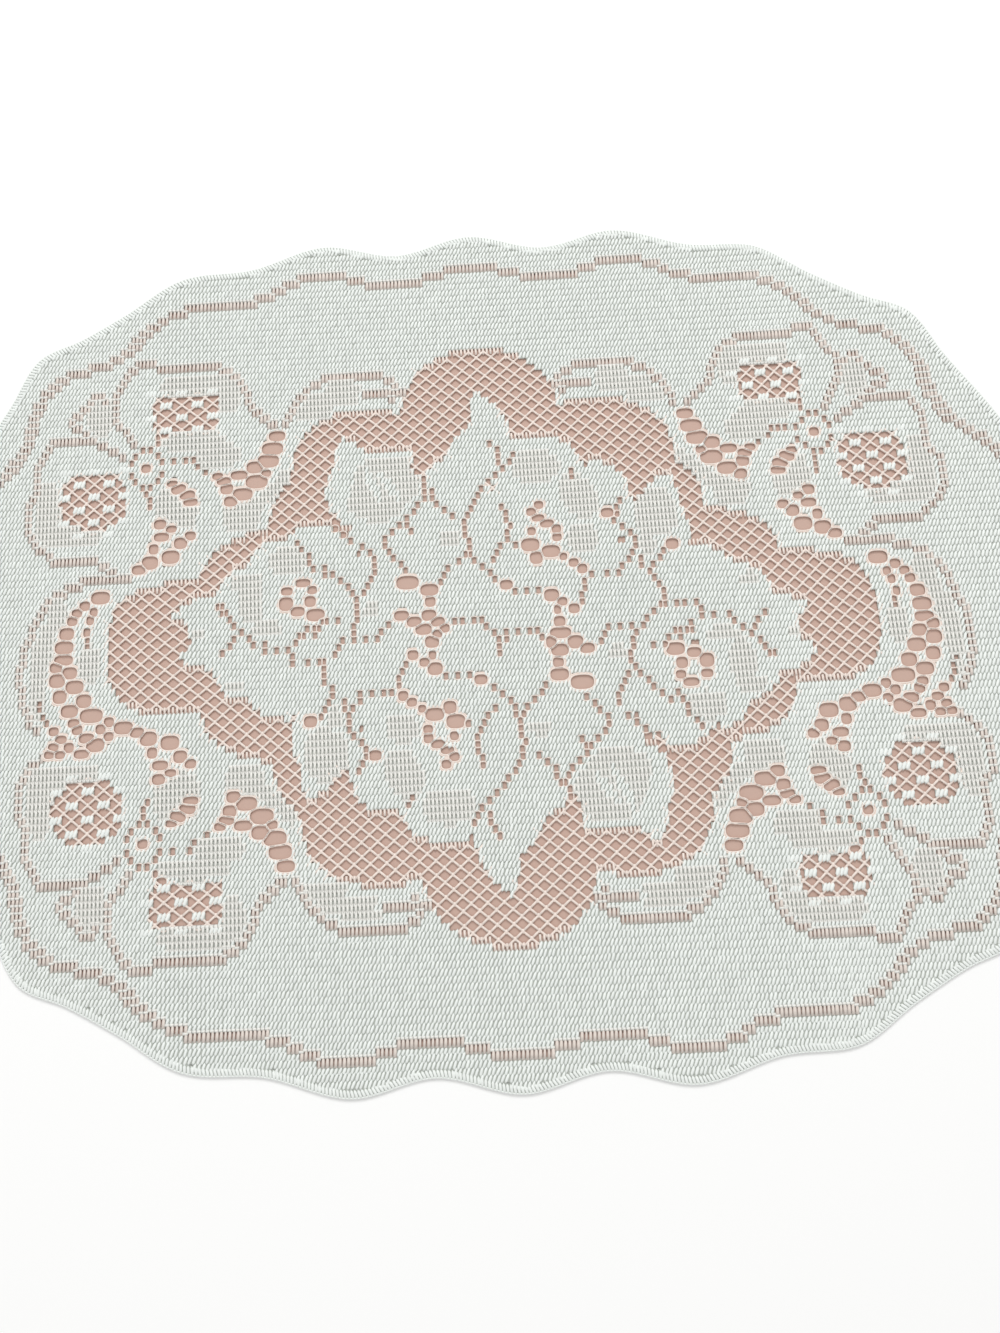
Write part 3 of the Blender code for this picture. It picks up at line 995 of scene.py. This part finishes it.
def solid_cloth(material):
    stitch = plump_stitch()
    deep = inside(grid_x, grid_y, edge_line(STITCH_INSET))
    row_index, wale_index = np.nonzero((chart == SOLID) & deep)
    order = np.argsort(wale_index, kind="stable")
    trim = 1.0 * (chart == BARRED)
    for k, part in enumerate(np.array_split(order, PANELS)):
        row, wale = row_index[part], wale_index[part]
        at = plump_strokes(wale - WALES_OUT, row - ROWS_OUT, trim[row + 1, wale], trim[row - 1, wale])
        knit(f"solid_cloth_{k + 1}", [pushed(*copies(stitch, *at))], material)


SLOT_PAINTED_SHADE = 0.75  # painted shade: the ground is painted darker where only posts cover it, for the shadow in the slots between them
CORNER_GAP = 0.06


def base_cloth(material):
    """The thin ground behind the strokes: one sheet, open wherever the lace is. Its grey is painted
    shade for the lanes between the strokes.
    """
    solid = np.isin(chart, CLOTH) & inside(grid_x, grid_y, edge_line(STITCH_INSET))
    for wale, row in filling_blocks:
        solid[row + ROWS_OUT, wale + WALES_OUT - 1 : wale + WALES_OUT + 2] = True
    high, wide = solid.shape
    corner_wale = np.arange(wide + 1) - WALES_OUT - 0.5
    corner_row = np.arange(high + 1) - ROWS_OUT - 0.5
    x, y = lie(*place(*np.meshgrid(corner_wale, corner_row)))
    # Where two cells meet only at a corner, each gets its own, a little apart.
    padded = np.pad(solid, 1)
    south_west, south_east = padded[:-1, :-1], padded[:-1, 1:]
    north_west, north_east = padded[1:, :-1], padded[1:, 1:]
    pinched = (south_west & north_east & ~south_east & ~north_west) | (
        south_east & north_west & ~south_west & ~north_east
    )
    number = (high + 1) * (wide + 1)
    index = np.arange(number).reshape(high + 1, wide + 1)
    lower = index + number * pinched
    row, wale = np.nonzero(solid)
    # A cell's own lower corners are the upper kind, because the cell lies above them.
    bottom = [index[row, wale], index[row, wale + 1]]
    faces = np.stack(bottom + [lower[row + 1, wale + 1], lower[row + 1, wale]], 1)
    points = np.concatenate(
        [
            vectors(x, y + CORNER_GAP * pinched, BASE_HIGH).reshape(-1, 3),
            vectors(x, y - CORNER_GAP * pinched, BASE_HIGH).reshape(-1, 3),
        ]
    )
    # Painted shade: the ground's corners under shaded cloth get a lower tone, for the shadow in its
    # slots.
    slot_shade_corners = np.unique(faces[chart[row, wale] == SHADED])
    used, faces = np.unique(faces, return_inverse=True)
    tones = np.where(np.isin(used, slot_shade_corners), SLOT_PAINTED_SHADE, 1.0)
    faces = faces.reshape(-1, 4)
    points = push_aside(points[used][:, None], drop=False)[:, 0]
    outer, inner = edge_line(RIM_INSET), edge_line(STRIP_INSET)
    count = len(outer)
    first = len(points)
    for ring in (outer, inner):
        rx, ry = lie(ring[:, 0], ring[:, 1])
        points = np.concatenate([points, vectors(rx, ry, BASE_HIGH + STRIP_UP)])
    ring = np.arange(count)
    following = np.roll(ring, -1)
    strip = first + np.stack([ring, following, count + following, count + ring], 1)
    faces = np.concatenate([faces, strip[:, ::-1]])
    mesh = bpy.data.meshes.new("base_cloth")
    mesh.from_pydata((points * MM).tolist(), [], faces.tolist())
    mesh.update()
    tones = np.concatenate([tones, np.ones(2 * count)])
    mesh.attributes.new("tone", "FLOAT", "POINT").data.foreach_set("value", tones.astype(np.float32))
    piece = bpy.data.objects.new("base_cloth", mesh)
    bpy.context.scene.collection.objects.link(piece)
    deselect_all()
    piece.select_set(True)
    bpy.context.view_layer.objects.active = piece
    thick = piece.modifiers.new("thickness", "SOLIDIFY")
    thick.thickness = (BASE_HIGH - BASE_LOW) * MM
    thick.offset = -1
    bpy.ops.object.modifier_apply(modifier=thick.name)
    return finish_piece(piece, material)


BAND_HALF = 0.6  # wales


def band_ends(wale, row_line, z):
    """The two ends of a short thread along a row's edge, a little over a wale long."""
    return [on_cloth(wale + side, row_line, z) for side in (-BAND_HALF, BAND_HALF)]


SHADED_POST = (0.88, 0.9)  # width and thickness
SHADED_BAND = (1.45, 0.85)
SHADED_LEAN = 0.12  # wales


def shaded_cloth(material):
    """Posts with narrow slots between them, tied by a band where two rows meet."""
    post = straight_thread(5)
    thread = straight_thread(4)
    wale, row = cells(SHADED)
    groups = []
    low = on_cloth(wale, row - 0.5, CLOTH_Z)
    high = on_cloth(wale + SHADED_LEAN, row + 0.5, CLOTH_Z)
    groups.append(between(post, low, high, *SHADED_POST))
    keys = {(w, r) for w, r in zip(wale, row)} | {(w, r + 1) for w, r in zip(wale, row)}
    band_wale = np.array([w for w, r in sorted(keys)], float)
    band_row = np.array([r for w, r in sorted(keys)], float) - 0.5
    first, last = band_ends(band_wale, band_row, CLOTH_Z)
    groups.append(between(thread, first, last, *SHADED_BAND))
    return knit("shaded_cloth", [pushed(*group) for group in groups], material)


BAR_POST = 1.27
BAR_REACH_UP = 0.22  # rows that the posts reach past their own row into solid cloth
BAR_TIE = 1.05
BAR_TIE_UP = 0.16
BAR_LEAN = 0.2  # wales
FINE_THICK = 0.6  # of every fine thread: bars, ties, hung posts and net
HUNG_POST = 0.85


def open_bars(material, tie_material, net_material):
    """Bare posts side by side, tied across where a row ends."""
    wale, row = cells(BARRED)
    above = chart[row + 1 + ROWS_OUT, wale + WALES_OUT] != BARRED
    below = chart[row - 1 + ROWS_OUT, wale + WALES_OUT] != BARRED
    top, foot = row + 0.5 + BAR_REACH_UP * above, row - 0.5 - BAR_REACH_UP * below
    low = on_cloth(wale, foot, CLOTH_Z)
    high = on_cloth(wale + BAR_LEAN, top, CLOTH_Z)
    width = BAR_POST * chance.normal(1, 0.1, len(wale))
    posts = between(tapered_post(), low, high, width, FINE_THICK)
    knit("open_bars", [pushed(*posts)], material)
    ends = band_ends(wale, top, CLOTH_Z + BAR_TIE_UP)
    ties = between(straight_thread(4), *ends, BAR_TIE, FINE_THICK)
    knit("bar_ties", [pushed(*ties)], tie_material)
    wale, row = cells(HUNG)
    low = on_cloth(wale, row - 0.5, NET_Z)
    high = on_cloth(wale, row + 0.5, NET_Z)
    hung = between(straight_thread(5), low, high, HUNG_POST, FINE_THICK)
    return knit("hung_posts", [pushed(*hung)], net_material)


NET_Z = 0.32
NET_THREAD = 0.86
KNOT_SIZE = (1.3, 1.7, 0.95)


def mesh_threads(knots, lean_on, name, material):
    """Diagonal threads between knots, and a small lump at each knot."""
    thread = straight_thread(5)
    lump = plump_stitch(rings=4, belly=1.0)
    first, last = [], []
    for wale, row in sorted(knots | lean_on):
        for step in (-MESH_WALES // 2, MESH_WALES // 2):
            far = (wale + step, row + MESH_ROWS // 2)
            if far in knots or (wale, row) in knots:
                first.append((wale, row))
                last.append(far)
    first, last = np.array(first, float), np.array(last, float)
    groups = []
    start = on_cloth(first[:, 0], first[:, 1], NET_Z)
    end = on_cloth(last[:, 0], last[:, 1], NET_Z)
    groups.append(between(thread, start, end, NET_THREAD, FINE_THICK))
    at = np.array(sorted(knots), float)
    where = on_cloth(at[:, 0], at[:, 1], NET_Z)
    none = np.zeros(len(at))
    groups.append(
        copies(
            lump,
            where,
            vectors(none + KNOT_SIZE[0], 0, 0),
            vectors(none, KNOT_SIZE[1], 0),
            vectors(none, 0, KNOT_SIZE[2]),
        )
    )
    return knit(name, groups, material)


def next_knots(knots):
    """The places one mesh thread away from these knots that aren't knots among them."""
    steps = [(dw, dr) for dw in (-MESH_WALES // 2, MESH_WALES // 2) for dr in (-1, 1)]
    return {(w + dw, r + dr) for w, r in knots for dw, dr in steps} - knots


def knot_sets(kind, wale_0, row_0, side=None):
    """Knots of the net in cells of one kind, and those just outside that their threads reach."""
    wale, row = cells(kind)
    if side is not None:
        keep = (np.sign(wale) == side[0]) & (np.sign(row) == side[1])
        wale, row = wale[keep], row[keep]
        wale_0, row_0 = side[0] * wale_0, side[1] * row_0
    even = ((wale - wale_0) % MESH_WALES == 0) & ((row - row_0) % MESH_ROWS == 0)
    odd = (wale - wale_0) % MESH_WALES == MESH_WALES // 2
    odd &= (row - row_0) % MESH_ROWS == MESH_ROWS // 2
    knots = {(int(w), int(r)) for w, r in zip(wale[even | odd], row[even | odd])}
    return knots, next_knots(knots)


BLOCK_PLUMP = 1.35


def net_and_fillings(fine, plump):
    knots, beside = knot_sets(NET, 0, 1)
    mesh_threads(knots, beside, "net", fine)
    mesh_threads(filling_knots, filling_ends - filling_knots, "bow_fillings", fine)
    at = np.array(sorted(filling_blocks), float)
    wale = np.concatenate([at[:, 0] + step for step in (-1, 0, 1)])
    row = np.concatenate([at[:, 1]] * 3)
    at, across, along, up = plump_strokes(wale, row)
    knit("filling_blocks", [copies(plump_stitch(), at, BLOCK_PLUMP * across, along, up)], plump)


filling_knots = set()
filling_ends = set()
filling_blocks = set()


NEAR = 1.0  # a filling's knots lie this far outside it at most


def find_filling_blocks():
    """In the fillings every other knot of the net is a block of cloth three wales wide."""
    for x, y, half_width, half_height, _, wale_0, row_0 in FILLINGS:
        for side in QUARTERS:
            knots, _ = knot_sets(FILLED, wale_0, row_0, side)
            near = set()
            for w, r in knots:
                px, py = place(w, r)
                if abs(abs(px) - x) < half_width + NEAR and abs(abs(py) - y) < half_height + NEAR:
                    near.add((w, r))
            ends = next_knots(near)
            filling_knots.update(near)
            filling_ends.update(ends)
            for w, r in near | ends:
                du, dv = (w - side[0] * wale_0), (r - side[1] * row_0)
                if du % MESH_WALES or dv % MESH_ROWS:
                    continue
                if (du // MESH_WALES + dv // MESH_ROWS) % 2:
                    filling_blocks.add((w, r))


CORD_TONE = 0.7


def cord(name, lines, radius, material, roundness=1):
    """Round threads along closed lines on the cloth."""
    curve = bpy.data.curves.new(name, "CURVE")
    curve.dimensions = "3D"
    curve.bevel_depth = radius * MM
    curve.bevel_resolution = roundness
    for line in lines:
        spline = curve.splines.new("POLY")
        spline.points.add(len(line) - 1)
        points = np.concatenate([line * MM, np.ones((len(line), 1))], 1)
        spline.points.foreach_set("co", points.ravel())
        spline.use_cyclic_u = True
    piece = bpy.data.objects.new(name, curve)
    bpy.context.scene.collection.objects.link(piece)
    deselect_all()
    piece.select_set(True)
    bpy.context.view_layer.objects.active = piece
    bpy.ops.object.convert(target="MESH")
    piece = bpy.context.object
    tone = piece.data.attributes.new("tone", "FLOAT", "POINT")
    tone.data.foreach_set("value", np.full(len(piece.data.vertices), CORD_TONE, np.float32))
    piece.data.shade_smooth()
    return finish_piece(piece, material)


OVERCAST_PITCH = 1.2
OVERCAST_LENGTH = 3.3
OVERCAST_WIDTH = 1.12
OVERCAST_THICK = 0.85
OVERCAST_Z = 0.49
OVERCAST_MIDDLE = 1.75  # how far inside the edge the middles of its stitches lie
OVERCAST_LEAN = math.radians(20)

# --- Camera, floor and light -------------------------------------------------------------------

# The camera, in metres
CAMERA_AT = (0.010523, -0.089231, 0.343114)
CAMERA_TURN = (12.169, 1.801, -2.608)  # degrees
LENS = 27.0
SENSOR = 36.0
NEAREST = 0.01  # nothing nearer than this shows, in metres
FLOOR_SIZE = 4.0
# Name, place, size in metres and power in watts
LIGHTS = (
    ("key", (0.1, 1.3, 1.3), 0.9, 17.8),
    ("fill", (-0.6, -0.9, 1.6), 1.6, 4.5),
)
ROOM_LIGHT = 0.608


def overcast_edge(material):
    """The cut edge is bound: short stitches side by side across it, and a cord along the rim."""
    line = edge_line(OVERCAST_MIDDLE)
    step = np.linalg.norm(np.roll(line, -1, 0) - line, axis=1)
    run = np.concatenate([[0], np.cumsum(step)])
    count = round(run[-1] / OVERCAST_PITCH)
    at = np.arange(count) * run[-1] / count
    closed = np.concatenate([line, line[:1]])
    x = np.interp(at, run, closed[:, 0])
    y = np.interp(at, run, closed[:, 1])
    along_x = np.roll(x, -1) - np.roll(x, 1)
    along_y = np.roll(y, -1) - np.roll(y, 1)
    length = np.hypot(along_x, along_y)
    out_x, out_y = along_y / length, -along_x / length
    side_x, side_y = along_x / length, along_y / length
    x, y = lie(x, y)
    lean_x, lean_y = math.cos(OVERCAST_LEAN), math.sin(OVERCAST_LEAN)
    run_x = out_x * lean_x + side_x * lean_y
    run_y = out_y * lean_x + side_y * lean_y
    none = np.zeros(count)
    laid = copies(
        plump_stitch(),
        vectors(x, y, OVERCAST_Z),
        vectors(run_y * OVERCAST_WIDTH, -run_x * OVERCAST_WIDTH, 0),
        vectors(run_x * OVERCAST_LENGTH, run_y * OVERCAST_LENGTH, 0),
        vectors(none, 0, OVERCAST_THICK),
    )
    knit("overcast_edge", [laid], material)
    edge_x, edge_y = lie(*edge_line(RIM_INSET).T)
    cord("rim_cord", [vectors(edge_x, edge_y, RIM_Z)], RIM_RADIUS, material)


def take_camera():
    data = bpy.data.cameras.new("camera")
    data.lens = LENS
    data.sensor_width = SENSOR
    data.clip_start = NEAREST
    camera = bpy.data.objects.new("camera", data)
    camera.location = CAMERA_AT
    camera.rotation_euler = [math.radians(v) for v in CAMERA_TURN]
    bpy.context.scene.collection.objects.link(camera)
    bpy.context.scene.camera = camera


def area_light(name, at, size, power):
    data = bpy.data.lights.new(name, "AREA")
    data.shape = "DISK"
    data.size = size
    data.energy = power
    light = bpy.data.objects.new(name, data)
    light.location = at
    away = bpy.data.objects[NODE].location - light.location
    light.rotation_euler = away.to_track_quat("-Z", "Y").to_euler()
    bpy.context.scene.collection.objects.link(light)


PAPER_INSET = 7.0  # millimetres inside the lace's edge
PAPER_DROP = 0.0002  # metres, just clear of the lowest net thread
FLOOR_DROP = 0.0003  # metres


def lining_paper():
    """The stage under the lace alone: a blush ground that only its openings show."""
    ring = edge_line(PAPER_INSET)
    x, y = lie(ring[:, 0], ring[:, 1])
    mesh = bpy.data.meshes.new("lining_paper")
    points = np.stack([x * MM, y * MM, np.full(len(x), -PAPER_DROP)], 1)
    mesh.from_pydata(points.tolist(), [], [list(range(len(x)))[::-1]])
    mesh.update()
    paper = bpy.data.objects.new("lining_paper", mesh)
    bpy.context.scene.collection.objects.link(paper)
    paper.data.materials.append(plain("blush_paper", PAPER_BLUSH))


def studio():
    deselect_all()
    bpy.ops.mesh.primitive_plane_add(size=FLOOR_SIZE)
    floor = bpy.context.object
    floor.name = "floor"
    floor.location.z = -FLOOR_DROP
    floor.data.materials.append(plain("white_floor", FLOOR_WHITE))
    lining_paper()
    for row in LIGHTS:
        area_light(*row)
    world = bpy.data.worlds.new("soft_room")
    world.use_nodes = True
    background = world.node_tree.nodes["Background"]
    background.inputs["Color"].default_value = (1.0, 1.0, 1.0, 1.0)
    background.inputs["Strength"].default_value = ROOM_LIGHT
    bpy.context.scene.world = world
    bpy.context.scene.view_settings.view_transform = "Standard"


def main():
    take_camera()
    draw_ground()
    draw_shading()
    draw_bars()
    draw_fillings()
    draw_holes()
    hang_net()
    find_filling_blocks()
    settle_rims(gaps, RIM_STEPS)
    settle_rims(small_holes, HOLE_RIM_STEPS)
    pattern = yarn("bleached_pattern_cotton", PATTERN_YARN)
    # The fine yarn's pink tint is painted reflection of the blush paper under the lace.
    fine = yarn("ground_cotton_painted_bounce", GROUND_YARN_PAINTED_BOUNCE)
    shading = yarn("bleached_shading_cotton", SHADING_YARN)
    # The ground's grey is painted shade, and its tone darkens it further as painted shade in the
    # slots of the shaded cloth.
    base = yarn("base_cloth_painted_shade", BASE_CLOTH_PAINTED_SHADE, 0.62)
    sheet = base_cloth(base)
    solid_cloth(pattern)
    shaded_cloth(shading)
    # The bars' posts are painted a shaded grey-pink for the dark opening under them.
    open_bars(yarn("bar_cotton_painted_shade", BAR_YARN_PAINTED_SHADE), shading, fine)
    net_and_fillings(fine, pattern)
    cord("gap_rims", rim_lines(0, len(gaps)), RIM_RADIUS, fine)
    cord("hole_rims", rim_lines(len(gaps), None), HOLE_RIM_RADIUS, fine, 0)
    outside = rim_lines(0, len(gaps), GATHERED)
    gathered = [push_aside(line[:, None], drop=False)[:, 0] for line in outside]
    cord("gathered_ground", gathered, RIM_RADIUS, fine, 0)
    overcast_edge(pattern)
    studio()


main()
